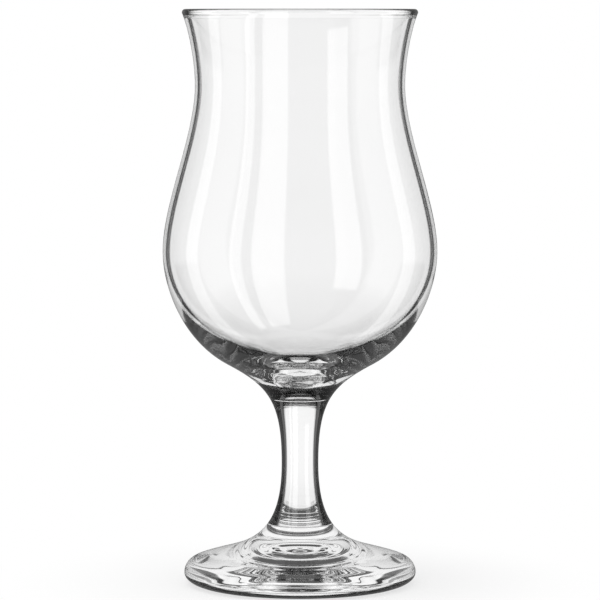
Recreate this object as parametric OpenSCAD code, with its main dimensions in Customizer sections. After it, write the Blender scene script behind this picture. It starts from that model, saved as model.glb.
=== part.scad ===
// Stemmed hurricane glass: a blown bowl, a drawn stem and a pressed foot, fused at two flat seams.
// Sizes are in millimetres. The glass stands on z = 0 and its axis is the z axis.
// Each piece is a section, drawn as [radius, height], turned once round that axis.

/* [Bowl] */
// Height of the whole glass, from the table to the top of the rim
glass_h = 180; // [165:0.5:220]
// Outside diameter over the rounded bead of the rim
rim_d = 73.4; // [60:0.1:90]
// Lean of the wall under the bead, in degrees from upright
rim_lean = 20.5; // [0:0.5:30]
// How much thicker the bead is than the wall
bead_swell = 0.35; // [0:0.05:1]
// Thickness of the blown wall, from the rim to the belly
wall = 1.75; // [1:0.05:3]
// Outside diameter at the waist
waist_d = 65.4; // [50:0.1:80]
// Depth of the waist below the top of the rim
waist_drop = 23.5; // [15:0.5:35]
// Outside diameter at the belly, the widest place
belly_d = 85.8; // [70:0.1:100]
// Height of the belly above the table
belly_z = 104.5; // [95:0.5:125]
// Outside diameter at the shoulder, where the bowl's underside turns down into the neck
shoulder_d = 46; // [38:0.5:54]
// Height of the shoulder above the table
shoulder_z = 69.4; // [64:0.1:76]
// Slope of the bowl's underside at the shoulder, in degrees from level
shoulder_slope = 28.5; // [20:0.5:36]
// Thickness of the solid glass between the drink space's floor and the stem's seam, without the dimple
base_t = 10.4; // [8:0.1:18]
// Diameter of the dimple in the middle of that floor
dimple_d = 36; // [24:0.5:44]
// Depth of the dimple
dimple_h = 4; // [0:0.1:5]

/* [Stem] */
// Diameter of the stem at its narrowest place
stem_d = 11.5; // [8:0.1:16]
// Height of that place above the table
stem_z = 38; // [32:0.5:46]

/* [Foot] */
// Outside diameter of the foot
foot_d = 72.8; // [60:0.1:90]
// Height of the foot's widest circle above the table
foot_edge_z = 3.5; // [2:0.1:6]
// Radius of the rounding above the widest circle
foot_edge_r = 4.6; // [2:0.1:6]
// Slope of the foot's top beside that rounding, in degrees from level
foot_slope = 19; // [8:0.5:26]
// How far the underside draws in from the widest circle to the ring that the glass stands on
foot_tuck = 6.1; // [3:0.1:8]
// Width of that ring, which is flat
ring_w = 3.3; // [1:0.1:8]
// Height of the shallow hollow inside the ring
hollow_h = 3; // [1:0.1:5]

/* [Hidden] */

// Number of straight steps along each curve, along the drink space's floor and round each arc of a section
curve_steps = 20;
well_steps = 40;
arc_steps = 10;
// Facets of the preview round the axis
$fn = 180;

// Lengths of the curves' handles, top end first, as shares of the curve's own height or reach
flare_shares = [0.31, 0.28];
side_shares = [0.3, 0.29];
under_shares = [0.31, 0.8];
neck_shares = [0.85, 0.62];
well_shares = [0.4, 0.75];
root_shares = [0.88, 0.56];
// The same for the hollow's curve, standing ring first
hollow_shares = [0.45, 0.5];
// How far along the neck and the root the two seams lie
neck_seam_share = 0.5;
root_seam_share = 0.35;

function heading(angle) = [cos(angle), sin(angle)];
function up(distance) = [0, distance];

// Point at t on the curve with control points c
function on_curve(c, t) =
    pow(1 - t, 3) * c[0] + 3 * pow(1 - t, 2) * t * c[1] + 3 * (1 - t) * pow(t, 2) * c[2] + pow(t, 3) * c[3];
function curve(c, from = 0, to = 1, steps = curve_steps) =
    [for (i = [0 : steps]) on_curve(c, from + (to - from) * i / steps)];
// Points from angle a to angle b on an ellipse with radii r, about a centre
function arc(centre, r, a, b) =
    [for (i = [0 : arc_steps]) let (angle = a + (b - a) * i / arc_steps)
        centre + [r.x * cos(angle), r.y * sin(angle)]];
function backwards(points) = [for (i = [len(points) - 1 : -1 : 0]) points[i]];

// The rim's bead, and where the wall's two faces run into it
bead_r = (wall + bead_swell) / 2;
bead_c = [rim_d / 2 - bead_r, glass_h - bead_r];
bead_join = acos(wall / (2 * bead_r));
rim_out = bead_c + bead_r * heading(-bead_join);
rim_in = bead_c + bead_r * heading(180 + bead_join);

// Where the outside is upright, or changes from one curve to the next
waist = [waist_d / 2, glass_h - waist_drop];
belly = [belly_d / 2, belly_z];
shoulder = [shoulder_d / 2, shoulder_z];
stem_waist = [stem_d / 2, stem_z];
foot_edge = [foot_d / 2, foot_edge_z];
foot_top_c = foot_edge - [foot_edge_r, 0];
foot_top = foot_top_c + foot_edge_r * heading(90 - foot_slope);

// Curves of the outside, from the rim down
function flare(rim, waist) = let (h = rim.y - waist.y)
    [rim, rim - h * flare_shares[0] * heading(90 - rim_lean), waist + up(h * flare_shares[1]), waist];
function side(waist, belly) = let (h = waist.y - belly.y)
    [waist, waist - up(h * side_shares[0]), belly + up(h * side_shares[1]), belly];
under_way = belly - shoulder;
under = [
    belly,
    belly - up(under_way.y * under_shares[0]),
    shoulder + under_way.x * under_shares[1] * heading(shoulder_slope),
    shoulder,
];
neck_way = shoulder - stem_waist;
neck = [
    shoulder,
    shoulder - neck_way.x * neck_shares[0] * heading(shoulder_slope),
    stem_waist + up(neck_way.y * neck_shares[1]),
    stem_waist,
];
root_way = [foot_top.x - stem_waist.x, stem_waist.y - foot_top.y];
root = [
    stem_waist,
    stem_waist - up(root_way.y * root_shares[0]),
    foot_top - root_way.x * root_shares[1] * heading(-foot_slope),
    foot_top,
];
neck_seam = on_curve(neck, neck_seam_share);
root_seam = on_curve(root, root_seam_share);

// The drink space below the belly, where the wall thickens towards the rounded floor
wall_in = [wall, 0];
floor_z = neck_seam.y + base_t;
well_top = belly - wall_in;
well = [
    well_top,
    well_top - up((well_top.y - floor_z) * well_shares[0]),
    [well_top.x * well_shares[1], floor_z],
    up(floor_z),
];

// The floor's dimple, which fades out smoothly at its edge
function dimple_share(r) = let (share = max(1 - 2 * r / dimple_d, 0)) pow(share, 2) * (3 - 2 * share);
well_points = [for (point = curve(well, steps = well_steps)) point - up(dimple_h * dimple_share(point.x))];

// The hollow under the foot rises from the standing ring to the axis like a low bell
ring = [foot_edge.x - foot_tuck - ring_w, 0];
hollow = [ring, ring * (1 - hollow_shares[0]), up(hollow_h) + ring * hollow_shares[1], up(hollow_h)];

module turned(section) {
    rotate_extrude() polygon(section);
}

module bowl() {
    color("aliceblue", 0.4) turned(concat(
        curve(flare(rim_out, waist)),
        curve(side(waist, belly)),
        curve(under),
        curve(neck, 0, neck_seam_share),
        [up(neck_seam.y)],
        backwards(well_points),
        backwards(curve(side(waist - wall_in, well_top))),
        backwards(curve(flare(rim_in, waist - wall_in))),
        arc(bead_c, [bead_r, bead_r], 180 + bead_join, -bead_join)
    ));
}

module stem() {
    color("lightcyan", 0.4) turned(concat(
        curve(neck, neck_seam_share, 1),
        curve(root, 0, root_seam_share),
        [up(root_seam.y), up(neck_seam.y)]
    ));
}

module foot() {
    color("azure", 0.4) turned(concat(
        curve(root, root_seam_share, 1),
        arc(foot_top_c, [foot_edge_r, foot_edge_r], 90 - foot_slope, 0),
        arc(foot_edge - [foot_tuck, 0], [foot_tuck, foot_edge_z], 0, -90),
        curve(hollow),
        [up(root_seam.y)]
    ));
}

bowl();
stem();
foot();
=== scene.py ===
"""Stemmed hurricane glass: bowl, stem and foot in clear glass, on a white table in a plain studio.

Sections are drawn as (radius, height) in millimetres and turned round the z axis by one Geometry Nodes tree.
"""

import logging
import math
from dataclasses import dataclass, field
from enum import Enum

import bpy
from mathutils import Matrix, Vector


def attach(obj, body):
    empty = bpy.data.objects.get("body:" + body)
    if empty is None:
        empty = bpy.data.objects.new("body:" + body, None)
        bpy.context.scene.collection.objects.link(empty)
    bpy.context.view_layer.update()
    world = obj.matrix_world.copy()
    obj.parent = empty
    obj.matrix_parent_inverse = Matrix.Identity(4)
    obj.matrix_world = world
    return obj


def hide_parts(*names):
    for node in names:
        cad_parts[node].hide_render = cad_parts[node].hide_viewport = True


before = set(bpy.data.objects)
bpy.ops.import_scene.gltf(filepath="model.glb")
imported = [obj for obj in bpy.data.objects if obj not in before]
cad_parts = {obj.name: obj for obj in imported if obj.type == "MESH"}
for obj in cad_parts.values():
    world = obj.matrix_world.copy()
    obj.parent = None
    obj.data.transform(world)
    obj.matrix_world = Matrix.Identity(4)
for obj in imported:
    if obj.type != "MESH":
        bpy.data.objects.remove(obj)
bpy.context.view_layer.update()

LOG = logging.getLogger("hurricane_glass")
Socket = bpy.types.NodeSocket
MM = 0.001
BODY = "root"
WHITE = (1.0, 1.0, 1.0, 1.0)

# Limits on a light path's bounce counts, halfway between whole numbers
NO_BOUNCE = 0.5
ONE_BOUNCE = 1.5
TWO_BOUNCES = 2.5
# Most bounces in the glass, and most clear seams on a path
MOST_BOUNCES = 64
MOST_SEAMS = 32


class Face(Enum):
    """What a stretch of a section is: open glass, or a face fused to the next piece."""

    GLASS = 0
    FUSED = 1


def heading(angle: float) -> Vector:
    """Returns the unit vector at an angle, in degrees, above level in the section's plane."""
    return Vector((math.cos(math.radians(angle)), math.sin(math.radians(angle))))


def up(distance: float) -> Vector:
    """Returns a step straight up in the section's plane."""
    return Vector((0.0, distance))


@dataclass(frozen=True)
class Curve:
    """A cubic curve in the section's plane, by its four control points."""

    start: Vector
    lead: Vector
    trail: Vector
    end: Vector

    def at(self, t: float) -> Vector:
        """Returns the point at t, from 0 at the start to 1 at the end."""
        s = 1.0 - t
        return (s ** 3 * self.start + 3 * s * s * t * self.lead
                + 3 * s * t * t * self.trail + t ** 3 * self.end)

    def points(self, steps: int, first: float = 0.0, last: float = 1.0) -> list[Vector]:
        """Samples a stretch of the curve.

        Args:
            steps: Number of straight steps.
            first: Where the stretch starts, from 0 to 1.
            last: Where the stretch ends.

        Returns:
            The stretch's points, both ends included.
        """
        return [self.at(first + (last - first) * i / steps) for i in range(steps + 1)]


def ramp(value: float, none: float, full: float) -> float:
    """Returns a smooth share that goes from 0 at one place to 1 at another, and stays there."""
    share = min(max((value - none) / (full - none), 0.0), 1.0)
    return share * share * (3.0 - 2.0 * share)


def arc(centre: Vector, radii: tuple[float, float], first: float, last: float, steps: int) -> list[Vector]:
    """Samples an arc of an upright ellipse.

    Args:
        centre: The ellipse's centre.
        radii: Its radii, across and up.
        first: Angle of the first point, in degrees above level.
        last: Angle of the last point.
        steps: Number of straight steps.

    Returns:
        The arc's points, both ends included.
    """
    points = []
    for i in range(steps + 1):
        turn = heading(first + (last - first) * i / steps)
        points.append(centre + Vector((radii[0] * turn.x, radii[1] * turn.y)))
    return points


@dataclass(frozen=True)
class Outline:
    """The glass's outside and drink space, which the three pieces share, in millimetres and degrees.

    The shares are the lengths of the curves' handles, or say how far along a curve a seam lies.
    """

    glass_h: float = 180.0
    rim_d: float = 73.4
    rim_lean: float = 20.5
    bead_swell: float = 0.35
    wall: float = 1.75
    waist_d: float = 65.4
    waist_drop: float = 23.5
    belly_d: float = 85.8
    belly_z: float = 104.5
    shoulder_d: float = 46.0
    shoulder_z: float = 69.4
    shoulder_slope: float = 28.5
    base_t: float = 10.4
    dimple_d: float = 36.0
    dimple_h: float = 4.0
    stem_d: float = 11.5
    stem_z: float = 38.0
    foot_d: float = 72.8
    foot_edge_z: float = 3.5
    foot_edge_r: float = 4.6
    foot_slope: float = 19.0
    foot_tuck: float = 6.1
    ring_w: float = 3.3
    hollow_h: float = 3.0
    flare_shares: tuple[float, float] = (0.31, 0.28)
    side_shares: tuple[float, float] = (0.3, 0.29)
    under_shares: tuple[float, float] = (0.31, 0.8)
    neck_shares: tuple[float, float] = (0.85, 0.62)
    well_shares: tuple[float, float] = (0.4, 0.75)
    root_shares: tuple[float, float] = (0.88, 0.56)
    hollow_shares: tuple[float, float] = (0.45, 0.5)
    neck_seam_share: float = 0.5
    root_seam_share: float = 0.35

    @property
    def bead_r(self) -> float:
        """Radius of the rim's bead."""
        return (self.wall + self.bead_swell) / 2

    @property
    def bead_centre(self) -> Vector:
        """Centre of the rim's bead."""
        return Vector((self.rim_d / 2 - self.bead_r, self.glass_h - self.bead_r))

    @property
    def bead_join(self) -> float:
        """Angle below level at which the wall's faces run into the bead, in degrees."""
        return math.degrees(math.acos(self.wall / (2 * self.bead_r)))

    @property
    def waist(self) -> Vector:
        """The narrowest place of the bowl's upper part, on the outside."""
        return Vector((self.waist_d / 2, self.glass_h - self.waist_drop))

    @property
    def belly(self) -> Vector:
        """The widest place, on the outside."""
        return Vector((self.belly_d / 2, self.belly_z))

    @property
    def wall_in(self) -> Vector:
        """The step across the wall, which is taken from the outer face to get the inner one."""
        return Vector((self.wall, 0.0))

    @property
    def foot_edge(self) -> Vector:
        """The foot's widest circle."""
        return Vector((self.foot_d / 2, self.foot_edge_z))

    @property
    def foot_top_centre(self) -> Vector:
        """Centre of the rounding above the foot's widest circle."""
        return self.foot_edge - Vector((self.foot_edge_r, 0.0))

    def flare(self, rim: Vector, waist: Vector) -> Curve:
        """Draws one face of the wall between the rim and the waist.

        Args:
            rim: Where the face leaves the bead.
            waist: Where it is upright.

        Returns:
            The curve, from the rim down.
        """
        h = rim.y - waist.y
        lead = rim - h * self.flare_shares[0] * heading(90 - self.rim_lean)
        return Curve(rim, lead, waist + up(h * self.flare_shares[1]), waist)

    def side(self, waist: Vector, belly: Vector) -> Curve:
        """Returns one face of the wall between two upright places, from the waist down to the belly."""
        h = waist.y - belly.y
        return Curve(waist, waist - up(h * self.side_shares[0]), belly + up(h * self.side_shares[1]), belly)

    @property
    def under(self) -> Curve:
        """The bowl's underside, from the belly to the shoulder."""
        shoulder = Vector((self.shoulder_d / 2, self.shoulder_z))
        way = self.belly - shoulder
        trail = shoulder + way.x * self.under_shares[1] * heading(self.shoulder_slope)
        return Curve(self.belly, self.belly - up(way.y * self.under_shares[0]), trail, shoulder)

    @property
    def neck(self) -> Curve:
        """The outside from the shoulder to the stem's narrowest place."""
        shoulder = self.under.end
        stem = Vector((self.stem_d / 2, self.stem_z))
        way = shoulder - stem
        lead = shoulder - way.x * self.neck_shares[0] * heading(self.shoulder_slope)
        return Curve(shoulder, lead, stem + up(way.y * self.neck_shares[1]), stem)

    @property
    def root(self) -> Curve:
        """The outside from the stem's narrowest place to the foot's rounded edge."""
        stem = self.neck.end
        top = self.foot_top_centre + self.foot_edge_r * heading(90 - self.foot_slope)
        reach = top.x - stem.x
        lead = stem - up((stem.y - top.y) * self.root_shares[0])
        return Curve(stem, lead, top - reach * self.root_shares[1] * heading(-self.foot_slope), top)

    @property
    def hollow(self) -> Curve:
        """The hollow under the foot, from the standing ring to the axis."""
        ring = Vector((self.foot_edge.x - self.foot_tuck - self.ring_w, 0.0))
        top = up(self.hollow_h)
        return Curve(ring, ring * (1 - self.hollow_shares[0]), top + ring * self.hollow_shares[1], top)

    @property
    def floor_z(self) -> float:
        """Height of the drink space's floor, without the dimple."""
        return self.neck_seam.y + self.base_t

    @property
    def well(self) -> Curve:
        """The drink space below the belly, where the wall thickens towards the rounded floor."""
        top = self.belly - self.wall_in
        lead = top - up((top.y - self.floor_z) * self.well_shares[0])
        return Curve(top, lead, Vector((top.x * self.well_shares[1], self.floor_z)), up(self.floor_z))

    def floor(self, steps: int) -> list[Vector]:
        """Returns the points of the well with its dimple, in a number of steps from the belly to the axis."""
        return [p - up(self.dimple_h * ramp(p.x, self.dimple_d / 2, 0.0)) for p in self.well.points(steps)]

    @property
    def neck_seam(self) -> Vector:
        """Edge of the seam between bowl and stem."""
        return self.neck.at(self.neck_seam_share)

    @property
    def root_seam(self) -> Vector:
        """Edge of the seam between stem and foot."""
        return self.root.at(self.root_seam_share)


class Trait(Enum):
    """What a section's points carry over to the skin.

    A ripple, and where the glass's tint gets painted shade: an edge, the inside of a wall for a dark line,
    and thick glass for light trapped in it.
    """

    RIPPLE = "ripple"
    # Where the glass's tint gets painted shade edge-on
    EDGE = "edge"
    # Inside faces of a wall, where the tint gets a painted dark line
    INNER = "inner"
    # Thick glass, where the tint gets painted shade on light that has turned inside it
    THICK = "thick"


@dataclass(frozen=True)
class Reach:
    """How far out from the axis a trait is full, and where it has faded out, in millimetres."""

    full: float
    none: float

    def at(self, radius: float) -> float:
        """Returns the trait's share at a radius."""
        return ramp(radius, self.none, self.full)


@dataclass
class Section:
    """A piece's section as one line from axis to axis, with what each stretch is and its traits."""

    SAME_PLACE = 1e-6
    FUSED = "fused"

    points: list[Vector] = field(default_factory=list)
    faces: list[Face] = field(default_factory=list)
    traits: dict[Trait, list[float]] = field(default_factory=lambda: {trait: [] for trait in Trait})

    def add(self, points: list[Vector], shares: dict[Trait, float | Reach] | None = None,
            face: Face = Face.GLASS) -> None:
        """Runs the section on through more points.

        Args:
            points: The points, the first of which may repeat the last one added.
            shares: How much the stretch has of a trait, as a share or by how far it reaches.
            face: What the stretch is.
        """
        for point in points:
            if self.points and (point - self.points[-1]).length < self.SAME_PLACE:
                continue
            if self.points:
                self.faces.append(face)
            self.points.append(point)
            for trait, row in self.traits.items():
                share = (shares or {}).get(trait, 0.0)
                row.append(share.at(point.x) if isinstance(share, Reach) else share)

    def line(self, name: str) -> bpy.types.Object:
        """Makes the section a mesh of edges that the turning tree reads.

        Args:
            name: The object's name.

        Returns:
            An object in the scene, in metres.
        """
        mesh = bpy.data.meshes.new(name)
        places = [(p.x * MM, 0.0, p.y * MM) for p in self.points]
        mesh.from_pydata(places, [(i, i + 1) for i in range(len(places) - 1)], [])
        fused = mesh.attributes.new(self.FUSED, "FLOAT", "EDGE")
        fused.data.foreach_set("value", [float(face.value) for face in self.faces])
        for trait, row in self.traits.items():
            mesh.attributes.new(trait.value, "FLOAT", "POINT").data.foreach_set("value", row)
        line = bpy.data.objects.new(name, mesh)
        bpy.context.scene.collection.objects.link(line)
        return line


class NodeBench:
    """Lays nodes into a node tree and wires them, for the trees below."""

    def __init__(self, tree: bpy.types.NodeTree) -> None:
        """Takes the tree to fill, and empties it."""
        self.tree = tree
        tree.nodes.clear()

    def put(self, kind: str, inputs: dict | None = None, **settings: object) -> bpy.types.Node:
        """Adds a node.

        Args:
            kind: The node's type name.
            inputs: What each input, by name or place, is wired from or set to.
            settings: The node's own properties.

        Returns:
            The new node.
        """
        node = self.tree.nodes.new(kind)
        for name, value in settings.items():
            setattr(node, name, value)
        for key, value in (inputs or {}).items():
            self.feed(node.inputs[key], value)
        return node

    def feed(self, socket: Socket, value: object) -> None:
        """Wires a socket, or sets its plain value.

        Args:
            socket: The input.
            value: Another socket, or what the input is set to.
        """
        if isinstance(value, Socket):
            self.tree.links.new(value, socket)
        else:
            socket.default_value = value

    def math(self, operation: str, *values: object) -> Socket:
        """Returns the result of a Math node, by its operation's name and its operands."""
        return self.put("ShaderNodeMath", dict(enumerate(values)), operation=operation).outputs[0]

    def ease(self, value: Socket, low: float, high: float, first: float = 0.0, last: float = 1.0) -> Socket:
        """Adds a smooth step.

        Args:
            value: What is mapped.
            low: Where the step starts.
            high: Where the step ends.
            first: The result up to low.
            last: The result from high.

        Returns:
            The result's socket.
        """
        inputs = {"Value": value, "From Min": low, "From Max": high, "To Min": first, "To Max": last}
        return self.put("ShaderNodeMapRange", inputs, interpolation_type="SMOOTHSTEP").outputs["Result"]

    def mix(self, share: Socket, first: object, second: object) -> Socket:
        """Returns a number that goes from the first to the second as the share goes from 0 to 1."""
        return self.put("ShaderNodeMix", {"Factor": share, "A": first, "B": second}).outputs[0]


class TurningTree:
    """The Geometry Nodes tree that turns a section round the z axis into a closed skin of glass."""

    INPUTS = {
        "Section": "NodeSocketGeometry",
        "Facets": "NodeSocketInt",
        "Ripple Height": "NodeSocketFloat",
        "Ripple Size": "NodeSocketFloat",
        "Ripple Seed": "NodeSocketFloat",
        "Ring Share": "NodeSocketFloat",
        "Ring Distortion": "NodeSocketFloat",
        "Glass": "NodeSocketMaterial",
        "Seam": "NodeSocketMaterial",
    }
    WELD = 1e-6
    # Distance between the rings of a wave texture whose scale is 1
    WAVE_LENGTH = math.tau / 20
    DETAIL = 1.0
    RING_DETAIL_SCALE = 0.6
    # Middle of the patterns' range, and of the range of what is fused
    HALF = 0.5

    def __init__(self) -> None:
        """Builds the tree once, for all pieces."""
        self.tree = bpy.data.node_groups.new("turned_skin", "GeometryNodeTree")
        self.sockets = {
            name: self.tree.interface.new_socket(name, in_out="INPUT", socket_type=kind).identifier
            for name, kind in self.INPUTS.items()
        }
        self.tree.interface.new_socket("Skin", in_out="OUTPUT", socket_type="NodeSocketGeometry")
        bench = NodeBench(self.tree)
        given = bench.put("NodeGroupInput")
        skin = self._rippled(bench, given, self._turned(bench, given))
        bench.put("NodeGroupOutput", {0: self._dressed(bench, given, skin)})

    def _turned(self, bench: NodeBench, given: bpy.types.Node) -> Socket:
        """Bends a grid, of section points by turns, round the axis, and welds it.

        Args:
            bench: Where the nodes go.
            given: The node of the tree's inputs.

        Returns:
            The skin, with the section's traits on its points and what is fused on its faces.
        """
        section, facets = given.outputs["Section"], given.outputs["Facets"]
        size = bench.put("GeometryNodeAttributeDomainSize", {"Geometry": section})
        columns = bench.math("ADD", facets, 1.0)
        grid = bench.put("GeometryNodeMeshGrid", {
            "Vertices X": size.outputs["Point Count"], "Vertices Y": columns,
        }).outputs["Mesh"]
        index = bench.put("GeometryNodeInputIndex").outputs[0]
        row = bench.math("FLOOR", bench.math("DIVIDE", index, columns))
        column = bench.math("MODULO", index, columns)
        angle = bench.math("MULTIPLY", bench.math("DIVIDE", column, facets), math.tau)
        here = bench.put("GeometryNodeInputPosition").outputs[0]
        point = self._sample(bench, section, "FLOAT_VECTOR", "POINT", here, row)
        part = bench.put("ShaderNodeSeparateXYZ", {0: point}).outputs
        place = bench.put("ShaderNodeCombineXYZ", {
            "X": bench.math("MULTIPLY", part["X"], bench.math("COSINE", angle)),
            "Y": bench.math("MULTIPLY", part["X"], bench.math("SINE", angle)),
            "Z": part["Z"],
        }).outputs[0]
        skin = bench.put("GeometryNodeSetPosition", {"Geometry": grid, "Position": place}).outputs[0]
        for trait in Trait:
            share = self._sample(bench, section, "FLOAT", "POINT", self._named(bench, trait.value), row)
            skin = self._store(bench, skin, trait.value, "POINT", share)
        strip = bench.math("FLOOR", bench.math("DIVIDE", index, facets))
        fused = self._sample(bench, section, "FLOAT", "EDGE", self._named(bench, Section.FUSED), strip)
        skin = self._store(bench, skin, Section.FUSED, "FACE", fused)
        return bench.put("GeometryNodeMergeByDistance", {"Geometry": skin, "Distance": self.WELD}).outputs[0]

    def _rippled(self, bench: NodeBench, given: bpy.types.Node, skin: Socket) -> Socket:
        """Moves the skin in and out, by noise or by wavy rings, where it has the ripple.

        Args:
            bench: Where the nodes go.
            given: The node of the tree's inputs.
            skin: The skin as turned.

        Returns:
            The uneven skin.
        """
        seed = given.outputs["Ripple Seed"]
        scale = bench.math("DIVIDE", 1.0, given.outputs["Ripple Size"])
        noise = bench.put("ShaderNodeTexNoise", {
            "W": seed, "Scale": scale, "Detail": self.DETAIL,
        }, noise_dimensions="4D").outputs[0]
        rings = bench.put("ShaderNodeTexWave", {
            "Scale": bench.math("MULTIPLY", scale, self.WAVE_LENGTH),
            "Distortion": given.outputs["Ring Distortion"],
            "Detail": self.DETAIL,
            "Detail Scale": self.RING_DETAIL_SCALE,
            "Phase Offset": seed,
        }, wave_type="RINGS", rings_direction="Z").outputs["Fac"]
        pattern = bench.mix(given.outputs["Ring Share"], noise, rings)
        swing = bench.math("SUBTRACT", pattern, self.HALF)
        swing = bench.math("MULTIPLY", swing, self._named(bench, Trait.RIPPLE.value))
        offset = bench.put("ShaderNodeVectorMath", {
            0: bench.put("GeometryNodeInputNormal").outputs[0],
            "Scale": bench.math("MULTIPLY", swing, given.outputs["Ripple Height"]),
        }, operation="SCALE").outputs[0]
        return bench.put("GeometryNodeSetPosition", {"Geometry": skin, "Offset": offset}).outputs[0]

    def _dressed(self, bench: NodeBench, given: bpy.types.Node, skin: Socket) -> Socket:
        """Shades the glass smooth and the seams flat, and gives both their materials.

        Args:
            bench: Where the nodes go.
            given: The node of the tree's inputs.
            skin: The uneven skin.

        Returns:
            The finished skin.
        """
        seam = bench.math("GREATER_THAN", self._named(bench, Section.FUSED), self.HALF)
        glass = bench.math("SUBTRACT", 1.0, seam)
        for chosen, smooth in ((seam, False), (glass, True)):
            skin = bench.put("GeometryNodeSetShadeSmooth", {
                "Geometry": skin, "Selection": chosen, "Shade Smooth": smooth,
            }).outputs[0]
        skin = bench.put("GeometryNodeRealizeInstances", {"Geometry": skin}).outputs[0]
        skin = bench.put("GeometryNodeSetMaterial", {
            "Geometry": skin, "Material": given.outputs["Glass"],
        }).outputs[0]
        return bench.put("GeometryNodeSetMaterial", {
            "Geometry": skin, "Selection": seam, "Material": given.outputs["Seam"],
        }).outputs[0]

    @staticmethod
    def _named(bench: NodeBench, name: str) -> Socket:
        """Returns a number attribute by its name."""
        node = bench.put("GeometryNodeInputNamedAttribute", {"Name": name}, data_type="FLOAT")
        return node.outputs["Attribute"]

    @staticmethod
    def _sample(bench: NodeBench, source: Socket, kind: str, domain: str, value: Socket,
                index: Socket) -> Socket:
        """Reads a value of the section at an index.

        Args:
            bench: Where the node goes.
            source: The section.
            kind: The value's data type.
            domain: POINT or EDGE.
            value: What is read.
            index: Which element it is read from.

        Returns:
            The value's socket.
        """
        inputs = {"Geometry": source, "Value": value, "Index": index}
        return bench.put("GeometryNodeSampleIndex", inputs, data_type=kind, domain=domain).outputs["Value"]

    @staticmethod
    def _store(bench: NodeBench, skin: Socket, name: str, domain: str, value: Socket) -> Socket:
        """Stores a number on the skin under a name.

        Args:
            bench: Where the node goes.
            skin: The geometry.
            name: The attribute's name.
            domain: POINT or FACE.
            value: The number.

        Returns:
            The geometry with the attribute.
        """
        inputs = {"Geometry": skin, "Name": name, "Value": value}
        node = bench.put("GeometryNodeStoreNamedAttribute", inputs, data_type="FLOAT", domain=domain)
        return node.outputs[0]

    def turn(self, line: bpy.types.Object, values: dict[str, object]) -> bpy.types.Object:
        """Turns a section into a plain mesh.

        Args:
            line: The section's object, which becomes the piece.
            values: The tree's inputs by name, apart from the section.

        Returns:
            The same object with the turned mesh and no modifier.
        """
        modifier = line.modifiers.new("turned_skin", "NODES")
        modifier.node_group = self.tree
        for name, value in values.items():
            modifier[self.sockets[name]] = value
        bpy.context.view_layer.update()
        graph = bpy.context.evaluated_depsgraph_get()
        turned = line.evaluated_get(graph)
        mesh = bpy.data.meshes.new_from_object(turned, preserve_all_data_layers=True, depsgraph=graph)
        mesh.name = line.name
        line.modifiers.remove(modifier)
        line.data = mesh
        return line


class SurfaceGroup:
    """The shader group for hand-made glass: a slow wave in its height and an uneven polish."""

    WAVE_DETAIL = 1.0
    POLISH_DETAIL = 3.0
    POLISH_RANGE = (0.45, 0.75)

    def __init__(self) -> None:
        """Builds the group once, for all finishes."""
        self.tree = bpy.data.node_groups.new("glass_surface", "ShaderNodeTree")
        face = self.tree.interface
        for name in ("Wave Size", "Polish Size", "Roughest"):
            face.new_socket(name, in_out="INPUT", socket_type="NodeSocketFloat")
        for name in ("Height", "Roughness"):
            face.new_socket(name, in_out="OUTPUT", socket_type="NodeSocketFloat")
        bench = NodeBench(self.tree)
        given = bench.put("NodeGroupInput").outputs
        place = bench.put("ShaderNodeTexCoord").outputs["Object"]
        height = self._noise(bench, place, given["Wave Size"], self.WAVE_DETAIL)
        polish = self._noise(bench, place, given["Polish Size"], self.POLISH_DETAIL)
        rough = bench.math("MULTIPLY", bench.ease(polish, *self.POLISH_RANGE), given["Roughest"])
        bench.put("NodeGroupOutput", {"Height": height, "Roughness": rough})

    @staticmethod
    def _noise(bench: NodeBench, place: Socket, size: Socket, detail: float) -> Socket:
        """Returns noise of a size, in metres, over the piece."""
        scale = bench.math("DIVIDE", 1.0, size)
        return bench.put("ShaderNodeTexNoise", {"Vector": place, "Scale": scale, "Detail": detail}).outputs[0]


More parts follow.
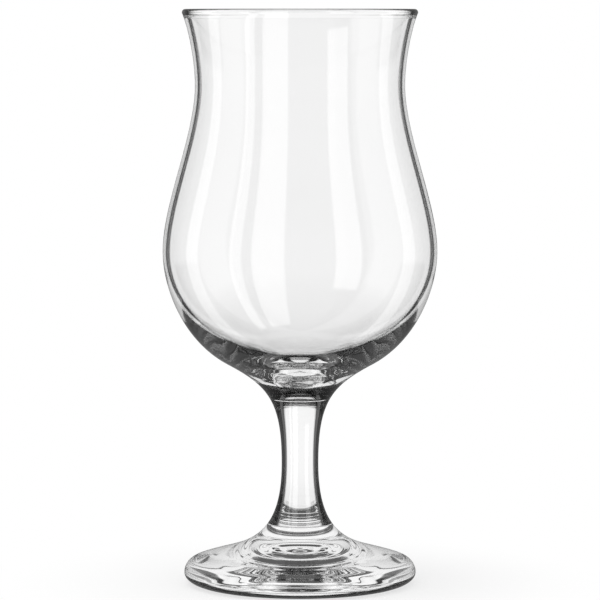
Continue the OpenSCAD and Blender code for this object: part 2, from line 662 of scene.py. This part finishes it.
@dataclass(frozen=True)
class ClearGlass:
    """Clear, fire-polished glass, with sizes in metres.

    Its tint carries painted shade: darker edge-on, on light that turns inside a thick part, and in a dark
    line within the wall. The ranges say at which facing, or after how many turns inside the glass, each of
    these sets in.
    """

    name: str
    wave_size: float = 0.01
    wave_strength: float = 0.05
    wave_depth: float = 0.0002
    polish_size: float = 0.012
    roughest: float = 0.02
    ior: float = 1.52
    tint: tuple[float, float, float] = (1.0, 1.0, 1.0)
    # The dark colour that the painted shade mixes into the tint, as a share of the tint
    painted_shade_level: float = 0.002
    facing_blend: float = 0.5
    painted_edge_facing: tuple[float, float] = (0.26, 0.34)
    painted_trapped_turns: tuple[float, float] = (0.7, 0.9)
    painted_line_facing: tuple[float, float] = (0.235, 0.242)
    painted_line_shade: tuple[float, float, float, float] = (0.12, 0.25, 0.0, 0.25)

    def material(self, surface: SurfaceGroup) -> bpy.types.Material:
        """Makes the material.

        Args:
            surface: The shared group of waves and polish.

        Returns:
            The material.
        """
        material = bpy.data.materials.new(self.name)
        material.use_nodes = True
        bench = NodeBench(material.node_tree)
        group = bench.put("ShaderNodeGroup", node_tree=surface.tree)
        group.inputs["Wave Size"].default_value = self.wave_size
        group.inputs["Polish Size"].default_value = self.polish_size
        group.inputs["Roughest"].default_value = self.roughest
        bump = bench.put("ShaderNodeBump", {
            "Height": group.outputs["Height"], "Strength": self.wave_strength, "Distance": self.wave_depth,
        })
        shader = bench.put("ShaderNodeBsdfPrincipled", {
            "Base Color": self._painted_shade_tint(bench, self._painted_shade_share(bench)),
            "Roughness": group.outputs["Roughness"],
            "IOR": self.ior,
            "Transmission Weight": 1.0,
            "Normal": bump.outputs[0],
        })
        bench.put("ShaderNodeOutputMaterial", {"Surface": shader.outputs[0]})
        return material

    @staticmethod
    def _trait(bench: NodeBench, trait: Trait) -> Socket:
        """Returns a trait's share on the skin."""
        return bench.put("ShaderNodeAttribute", attribute_name=trait.value).outputs["Fac"]

    def _painted_shade_share(self, bench: NodeBench) -> Socket:
        """Finds how much painted shade the glass's tint gets at its edges, in its thick parts and in a line
        within the wall.

        Args:
            bench: The material's nodes.

        Returns:
            The largest of the three shares.
        """
        facing = bench.put("ShaderNodeLayerWeight", {"Blend": self.facing_blend}).outputs["Facing"]
        back = bench.put("ShaderNodeNewGeometry").outputs["Backfacing"]
        path = bench.put("ShaderNodeLightPath").outputs
        # Painted edge shade: the tint gets darker as the glass turns edge-on, where it has the edge trait
        edge = bench.ease(bench.math("MULTIPLY", facing, self._trait(bench, Trait.EDGE)), *self.painted_edge_facing)
        # Painted shade on light that has turned inside thick glass, seen from within it
        trapped = bench.math("MULTIPLY", path["Glossy Depth"], self._trait(bench, Trait.THICK))
        trapped = bench.ease(bench.math("MULTIPLY", trapped, back), *self.painted_trapped_turns)
        # Painted dark line and grey shade on the inside of the wall, for light that has crossed no wall yet
        shade = bench.ease(facing, *self.painted_line_shade)
        line = bench.math("MAXIMUM", bench.ease(facing, *self.painted_line_facing), shade)
        near_wall = bench.math("LESS_THAN", path["Transmission Depth"], ONE_BOUNCE)
        line = bench.math("MULTIPLY", line, near_wall)
        inside = bench.math("MULTIPLY", back, self._trait(bench, Trait.INNER))
        line = bench.math("MULTIPLY", line, inside)
        return bench.math("MAXIMUM", bench.math("MAXIMUM", edge, trapped), line)

    def _painted_shade_tint(self, bench: NodeBench, share: Socket) -> Socket:
        """Darkens the glass's tint by the painted shade.

        Args:
            bench: The material's nodes.
            share: How much painted shade it gets, from 0 to 1.

        Returns:
            The colour's socket.
        """
        mix = bench.put("ShaderNodeMix", {"Factor": share}, data_type="RGBA")
        clear, dark = (socket for socket in mix.inputs if socket.type == "RGBA")
        bench.feed(clear, (*self.tint, 1.0))
        bench.feed(dark, (*(self.painted_shade_level * part for part in self.tint), 1.0))
        return next(socket for socket in mix.outputs if socket.type == "RGBA")


@dataclass(frozen=True)
class FusedSeam:
    """A face where two pieces are melted together: light passes straight on."""

    name: str = "fused_seam"

    def material(self) -> bpy.types.Material:
        """Makes the material.

        Returns:
            The material.
        """
        material = bpy.data.materials.new(self.name)
        material.use_nodes = True
        bench = NodeBench(material.node_tree)
        clear = bench.put("ShaderNodeBsdfTransparent")
        bench.put("ShaderNodeOutputMaterial", {"Surface": clear.outputs[0]})
        return material


@dataclass
class Piece:
    """What the three pieces share: a section, a finish and a place in the frame. Sizes are in millimetres."""

    outline: Outline
    turning: TurningTree
    surface: SurfaceGroup
    seam: bpy.types.Material
    node: str = ""
    finish: ClearGlass = ClearGlass("clear_glass")
    facets: int = 256
    ripple_h: float = 0.0
    ripple_size: float = 12.0
    seed: float = 1.0
    ring_share: float = 0.0
    ring_distortion: float = 1.0

    def section(self) -> Section:
        """Returns the piece's section, from axis to axis."""
        raise NotImplementedError

    def dress(self) -> dict[str, bpy.types.Material]:
        """Makes the piece's glass, and returns what the turning tree puts on its faces."""
        return {"Glass": self.finish.material(self.surface), "Seam": self.seam}

    def build(self) -> bpy.types.Object:
        """Turns the section into the dressed piece, and puts it in its node's place.

        Returns:
            The piece.
        """
        piece = self.turning.turn(self.section().line(f"{self.node}_glass"), {
            "Facets": self.facets,
            "Ripple Height": self.ripple_h * MM,
            "Ripple Size": self.ripple_size * MM,
            "Ripple Seed": self.seed,
            "Ring Share": self.ring_share,
            "Ring Distortion": self.ring_distortion,
            **self.dress(),
        })
        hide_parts(self.node)
        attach(piece, BODY)
        return piece


@dataclass
class Bowl(Piece):
    """The blown bowl, with its bead, wall, well and solid base."""

    node: str = "bowl"
    finish: ClearGlass = ClearGlass("blown_glass", wave_size=0.02)
    ripple_h: float = 2.4
    ripple_size: float = 8.0
    seed: float = 7.0
    floor_ripple: Reach = Reach(8.0, 16.0)
    # Shares of painted shade: edge shade at the bead and neck, and shade on trapped light in the thick
    # underside and neck
    bead_painted_edge: float = 0.5
    under_painted_trap_shade: Reach = Reach(30.0, 38.0)
    neck_painted_edge: Reach = Reach(12.0, 16.0)
    neck_painted_trap_shade: float = 0.31
    floor_steps: int = 90
    side_steps: int = 40
    flare_steps: int = 20
    bead_steps: int = 24
    under_steps: int = 60
    neck_steps: int = 30

    def section(self) -> Section:
        """Draws the section: up the inside, over the bead, down the outside and across the seam.

        Returns:
            The section.
        """
        o = self.outline
        rim_out = o.bead_centre + o.bead_r * heading(-o.bead_join)
        rim_in = o.bead_centre + o.bead_r * heading(180 + o.bead_join)
        waist_in = o.waist - o.wall_in
        inner = {Trait.INNER: 1.0}
        section = Section()
        section.add(o.floor(self.floor_steps)[::-1], {Trait.RIPPLE: self.floor_ripple, **inner})
        section.add(o.side(waist_in, o.well.start).points(self.side_steps)[::-1], inner)
        section.add(o.flare(rim_in, waist_in).points(self.flare_steps)[::-1], inner)
        bead = arc(o.bead_centre, (o.bead_r, o.bead_r), 180 + o.bead_join, -o.bead_join, self.bead_steps)
        section.add(bead, {Trait.EDGE: self.bead_painted_edge})
        section.add(o.flare(rim_out, o.waist).points(self.flare_steps))
        section.add(o.side(o.waist, o.belly).points(self.side_steps))
        section.add(o.under.points(self.under_steps), {Trait.THICK: self.under_painted_trap_shade})
        neck = o.neck.points(self.neck_steps, 0.0, o.neck_seam_share)
        section.add(neck, {Trait.EDGE: self.neck_painted_edge, Trait.THICK: self.neck_painted_trap_shade})
        section.add([o.neck_seam, up(o.neck_seam.y)], face=Face.FUSED)
        return section


@dataclass
class Stem(Piece):
    """The solid, waisted stem."""

    node: str = "stem"
    finish: ClearGlass = ClearGlass("drawn_glass")
    # Share of painted edge shade on the stem's side
    side_painted_edge: float = 1.0
    side_steps: int = 60

    def section(self) -> Section:
        """Draws the section: out along the upper seam, down the side and in along the lower seam.

        Returns:
            The section.
        """
        o = self.outline
        edge = {Trait.EDGE: self.side_painted_edge}
        section = Section()
        section.add([up(o.neck_seam.y), o.neck_seam], face=Face.FUSED)
        section.add(o.neck.points(self.side_steps, o.neck_seam_share, 1.0), edge)
        section.add(o.root.points(self.side_steps, 0.0, o.root_seam_share), edge)
        section.add([o.root_seam, up(o.root_seam.y)], face=Face.FUSED)
        return section


@dataclass
class Foot(Piece):
    """The pressed foot, which stands on a ring round a shallow hollow."""

    node: str = "foot"
    finish: ClearGlass = ClearGlass("pressed_glass")
    ripple_h: float = 0.8
    ripple_size: float = 6.0
    seed: float = 5.0
    ring_share: float = 1.0
    ring_distortion: float = 0.7
    # Shares of painted edge shade on the root and on the tuck under the edge
    root_painted_edge: Reach = Reach(8.0, 12.0)
    tuck_painted_edge: float = 0.72
    hollow_ripple: Reach = Reach(13.0, 22.0)
    root_steps: int = 90
    edge_steps: int = 24
    tuck_steps: int = 30
    hollow_steps: int = 90

    def section(self) -> Section:
        """Draws the section: out along the seam, down the top, round the edge and in along the underside.

        Returns:
            The section.
        """
        o = self.outline
        section = Section()
        section.add([up(o.root_seam.y), o.root_seam], face=Face.FUSED)
        root = o.root.points(self.root_steps, o.root_seam_share, 1.0)
        section.add(root, {Trait.EDGE: self.root_painted_edge})
        edge_radii = (o.foot_edge_r, o.foot_edge_r)
        section.add(arc(o.foot_top_centre, edge_radii, 90 - o.foot_slope, 0, self.edge_steps))
        tuck_centre = o.foot_edge - Vector((o.foot_tuck, 0.0))
        tuck = arc(tuck_centre, (o.foot_tuck, o.foot_edge_z), 0, -90, self.tuck_steps)
        section.add(tuck, {Trait.EDGE: self.tuck_painted_edge})
        section.add(o.hollow.points(self.hollow_steps), {Trait.RIPPLE: self.hollow_ripple})
        return section


@dataclass(frozen=True)
class Rays:
    """Where the surround's rays go, in degrees round from the camera's side and degrees above level."""

    bench: NodeBench
    azimuth: Socket
    height: Socket


@dataclass(frozen=True)
class Strip:
    """A strip light round the studio, by its azimuth from the camera's side and its height, in degrees."""

    left: float
    right: float
    bottom: float
    top: float
    strength: float
    blur: float = 1.5

    def light(self, rays: Rays) -> Socket:
        """Adds the strip to a surround.

        Args:
            rays: The surround's rays.

        Returns:
            The strip's light along a ray.
        """
        bench = rays.bench
        edges = (
            bench.ease(rays.azimuth, self.left - self.blur, self.left + self.blur),
            bench.ease(rays.azimuth, self.right - self.blur, self.right + self.blur, 1.0, 0.0),
            bench.ease(rays.height, self.bottom - self.blur, self.bottom + self.blur),
            bench.ease(rays.height, self.top - self.blur, self.top + self.blur, 1.0, 0.0),
        )
        light = self.strength
        for edge in edges:
            light = bench.math("MULTIPLY", edge, light)
        return light


@dataclass(frozen=True)
class Panels:
    """Panels or dark cards round both sides of the glass, from the camera's side to the back.

    They have levels, and the azimuths between these. They stand between two heights, and it is white above
    and below. Angles are in degrees.
    """

    levels: tuple[float, ...]
    edges: tuple[float, ...]
    blur: float = 2.0
    bottom: float = -180.0
    top: float = 180.0

    def light(self, rays: Rays) -> Socket:
        """Adds the panels to a surround.

        Args:
            rays: The surround's rays.

        Returns:
            The panels' light along a ray.
        """
        bench = rays.bench
        turn = bench.math("ABSOLUTE", rays.azimuth)
        light = self.levels[0]
        for edge, level in zip(self.edges, self.levels[1:]):
            light = bench.mix(bench.ease(turn, edge - self.blur, edge + self.blur), light, level)
        within = bench.math(
            "MULTIPLY",
            bench.ease(rays.height, self.bottom - self.blur, self.bottom + self.blur),
            bench.ease(rays.height, self.top - self.blur, self.top + self.blur, 1.0, 0.0),
        )
        return bench.mix(within, 1.0, light)


@dataclass
class Studio:
    """The table, the white surround with its strip lights and panels, the lamp and the camera.

    Lengths are in metres and angles in degrees. Each fade gives two heights and the levels at them.
    """

    camera_distance: float = 1.1
    camera_h: float = 0.183
    camera_pitch: float = 4.872
    field_of_view: float = 9.72
    table_r: float = 0.22
    table_steps: int = 128
    table_drop: float = 0.00005
    table_paint: tuple[float, float, float, float] = (0.9, 0.9, 0.9, 1.0)
    table_shade: float = 0.3
    shade_reach: tuple[float, float] = (0.04, 0.1)
    shadow_r: float = 0.022
    shadow_edge: tuple[float, float] = (0.85, 1.15)
    painted_shadow_level: float = 0.1
    lamp_size: float = 1.2
    lamp_power: float = 6.0
    lamp_place: tuple[float, float, float] = (-0.3, -0.2, 1.3)
    lamp_aim: tuple[float, float, float] = (0.0, 0.0, 0.1)
    room_level: float = 0.8
    front_level: float = 0.08
    strips: tuple[Strip, ...] = (
        Strip(-41, -13, -60, 60, 2.3),
        Strip(-61, -50, -60, 60, 2.3),
        Strip(30, 53, -29, 60, 2.3),
        Strip(-110, -95, -60, 60, 1.4),
        Strip(96, 112, -60, 60, 1.4),
        Strip(-182, -110, -60, 60, 0.12),
        Strip(112, 182, -60, 60, 0.12),
    )
    upper_fade: tuple[float, float, float, float] = (27.0, 40.0, 1.0, 0.04)
    lower_fade: tuple[float, float, float, float] = (-25.0, -5.0, 0.92, 1.0)
    mirror_fade: tuple[float, float, float, float] = (28.0, 38.0, 1.0, 0.1)
    mirror_panels: tuple[Panels, ...] = (
        Panels((0.3, 0.03, 0.9, 1.0), (40, 60, 150)),
        Panels((1.0, 0.02, 1.0), (146, 157), top=8.0),
        Panels((1.0, 0.3, 1.0), (95, 135), top=-8.0),
    )
    trapped_panels: tuple[Panels, ...] = (
        Panels((0.7, 0.03, 0.5, 1.0), (43, 76, 87), 4.0),
        Panels((1.0, 0.15, 1.0), (87, 130), bottom=16.0),
        Panels((1.0, 0.02, 1.0), (157, 168), top=8.0),
    )
    back_panels: tuple[Panels, ...] = (Panels((0.35, 1.0), (70,)),)

    def build(self) -> None:
        """Sets up the whole studio."""
        self._camera()
        self._table()
        self._surround()
        self._lamp()

    def _camera(self) -> None:
        """Puts the camera at the photograph's angle."""
        data = bpy.data.cameras.new("camera")
        data.sensor_fit = "VERTICAL"
        data.angle = math.radians(self.field_of_view)
        camera = bpy.data.objects.new("camera", data)
        camera.location = (0.0, -self.camera_distance, self.camera_h)
        camera.rotation_euler = (math.radians(90 - self.camera_pitch), 0.0, 0.0)
        bpy.context.scene.collection.objects.link(camera)
        bpy.context.scene.camera = camera

    def _table(self) -> None:
        """Makes the round table top."""
        turns = [math.tau * i / self.table_steps for i in range(self.table_steps)]
        ring = [(self.table_r * math.cos(a), self.table_r * math.sin(a), -self.table_drop) for a in turns]
        mesh = bpy.data.meshes.new("table")
        mesh.from_pydata(ring, [], [list(range(self.table_steps))])
        mesh.materials.append(self._table_finish())
        table = bpy.data.objects.new("table", mesh)
        bpy.context.scene.collection.objects.link(table)

    def _table_finish(self) -> bpy.types.Material:
        """Makes the table's white, which keeps a soft shadow, and has a painted shadow: a dark middle that
        only rays from the glass see.

        Returns:
            The material.
        """
        material = bpy.data.materials.new("white_table")
        material.use_nodes = True
        bench = NodeBench(material.node_tree)
        seen = self._seen_in_glass(bench)
        place = bench.put("ShaderNodeTexCoord").outputs["Object"]
        radius = bench.put("ShaderNodeVectorMath", {0: place}, operation="LENGTH").outputs["Value"]
        # Painted shadow: for rays from the glass, the glow under the foot drops to the shadow level
        glow = bench.put("ShaderNodeEmission", {
            "Color": WHITE, "Strength": bench.mix(seen, 1.0, self.painted_shadow_level),
        })
        paint = bench.put("ShaderNodeBsdfDiffuse", {"Color": self.table_paint})
        near = bench.ease(radius, *self.shade_reach, self.table_shade, 0.0)
        shade = bench.mix(seen, near, 0.0)
        top = bench.put("ShaderNodeMixShader", {0: shade, 1: glow.outputs[0], 2: paint.outputs[0]})
        beyond = bench.ease(radius, *(self.shadow_r * share for share in self.shadow_edge))
        open_to = bench.math("MULTIPLY", beyond, seen)
        clear = bench.put("ShaderNodeBsdfTransparent")
        table_top = bench.put("ShaderNodeMixShader", {0: open_to, 1: top.outputs[0], 2: clear.outputs[0]})
        bench.put("ShaderNodeOutputMaterial", {"Surface": table_top.outputs[0]})
        return material

    @staticmethod
    def _seen_in_glass(bench: NodeBench) -> Socket:
        """Returns 1 where a ray comes from the glass, and 0 elsewhere."""
        path = bench.put("ShaderNodeLightPath").outputs
        return bench.math("MAXIMUM", path["Is Glossy Ray"], path["Is Transmission Ray"])

    def _surround(self) -> None:
        """Makes the surround: white for the camera, and a studio of panels, gaps and strips for the glass."""
        world = bpy.data.worlds.new("surround")
        world.use_nodes = True
        bpy.context.scene.world = world
        bench = NodeBench(world.node_tree)
        way = bench.put("ShaderNodeTexCoord").outputs["Generated"]
        way = bench.put("ShaderNodeSeparateXYZ", {0: way}).outputs
        ahead = bench.math("MULTIPLY", way["Y"], -1.0)
        azimuth = bench.math("DEGREES", bench.math("ARCTAN2", way["X"], ahead))
        height = bench.math("DEGREES", bench.math("ARCSINE", way["Z"]))
        in_glass = self._light_in_glass(Rays(bench, azimuth, height))
        level = bench.mix(self._seen_in_glass(bench), self.room_level, in_glass)
        to_camera = bench.put("ShaderNodeLightPath").outputs["Is Camera Ray"]
        level = bench.mix(to_camera, level, 1.0)
        background = bench.put("ShaderNodeBackground", {"Color": WHITE, "Strength": level})
        bench.put("ShaderNodeOutputWorld", {"Surface": background.outputs[0]})

    def _light_in_glass(self, rays: Rays) -> Socket:
        """Finds the light that the glass shows, by how its path went through it and turned in it.

        Args:
            rays: The surround's rays.

        Returns:
            The light along a ray.
        """
        bench = rays.bench
        path = bench.put("ShaderNodeLightPath").outputs
        front = self.front_level
        for strip in self.strips:
            front = bench.math("ADD", strip.light(rays), front)
        through = bench.math(
            "MULTIPLY", bench.ease(rays.height, *self.upper_fade), bench.ease(rays.height, *self.lower_fade))
        mirrored = self._past(rays, bench.ease(rays.height, *self.mirror_fade), self.mirror_panels)
        trapped = self._past(rays, through, self.trapped_panels)
        behind = self._past(rays, through, self.back_panels)
        many_turns = bench.math("GREATER_THAN", path["Glossy Depth"], TWO_BOUNCES)
        turned = bench.math("GREATER_THAN", path["Glossy Depth"], NO_BOUNCE)
        both_walls = bench.math("GREATER_THAN", path["Transmission Depth"], TWO_BOUNCES)
        inside = bench.math("GREATER_THAN", path["Transmission Depth"], NO_BOUNCE)
        one_wall = bench.mix(many_turns, mirrored, trapped)
        bounced = bench.mix(inside, front, bench.mix(both_walls, one_wall, behind))
        return bench.mix(turned, through, bounced)

    @staticmethod
    def _past(rays: Rays, light: Socket, rows: tuple[Panels, ...]) -> Socket:
        """Dims a light by rows of panels.

        Args:
            rays: The surround's rays.
            light: The light behind the panels.
            rows: The panels, one row behind the other.

        Returns:
            What is left of the light along a ray.
        """
        for panels in rows:
            light = rays.bench.math("MULTIPLY", light, panels.light(rays))
        return light

    def _lamp(self) -> None:
        """Hangs one large soft lamp overhead, for the table's soft shadow."""
        data = bpy.data.lights.new("overhead", "AREA")
        data.shape = "DISK"
        data.size = self.lamp_size
        data.energy = self.lamp_power
        lamp = bpy.data.objects.new("overhead", data)
        lamp.location = self.lamp_place
        way = Vector(self.lamp_aim) - lamp.location
        lamp.rotation_euler = way.to_track_quat("-Z", "Y").to_euler()
        lamp.visible_camera = False
        lamp.visible_glossy = False
        lamp.visible_transmission = False
        bpy.context.scene.collection.objects.link(lamp)


def settings() -> None:
    """Sets the colour transform, and enough bounces for light to cross all walls of the glass."""
    scene = bpy.context.scene
    scene.view_settings.view_transform = "Standard"
    scene.cycles.max_bounces = MOST_BOUNCES
    scene.cycles.transmission_bounces = MOST_BOUNCES
    scene.cycles.glossy_bounces = MOST_BOUNCES
    scene.cycles.transparent_max_bounces = MOST_SEAMS


def main() -> None:
    """Builds the pieces in order, then the studio."""
    logging.basicConfig(level=logging.INFO, format="%(name)s: %(message)s")
    settings()
    shared = (Outline(), TurningTree(), SurfaceGroup(), FusedSeam().material())
    for kind in (Bowl, Stem, Foot):
        made = kind(*shared).build()
        LOG.info("%s: %d faces", made.name, len(made.data.polygons))
    Studio().build()


if __name__ == "__main__":
    main()
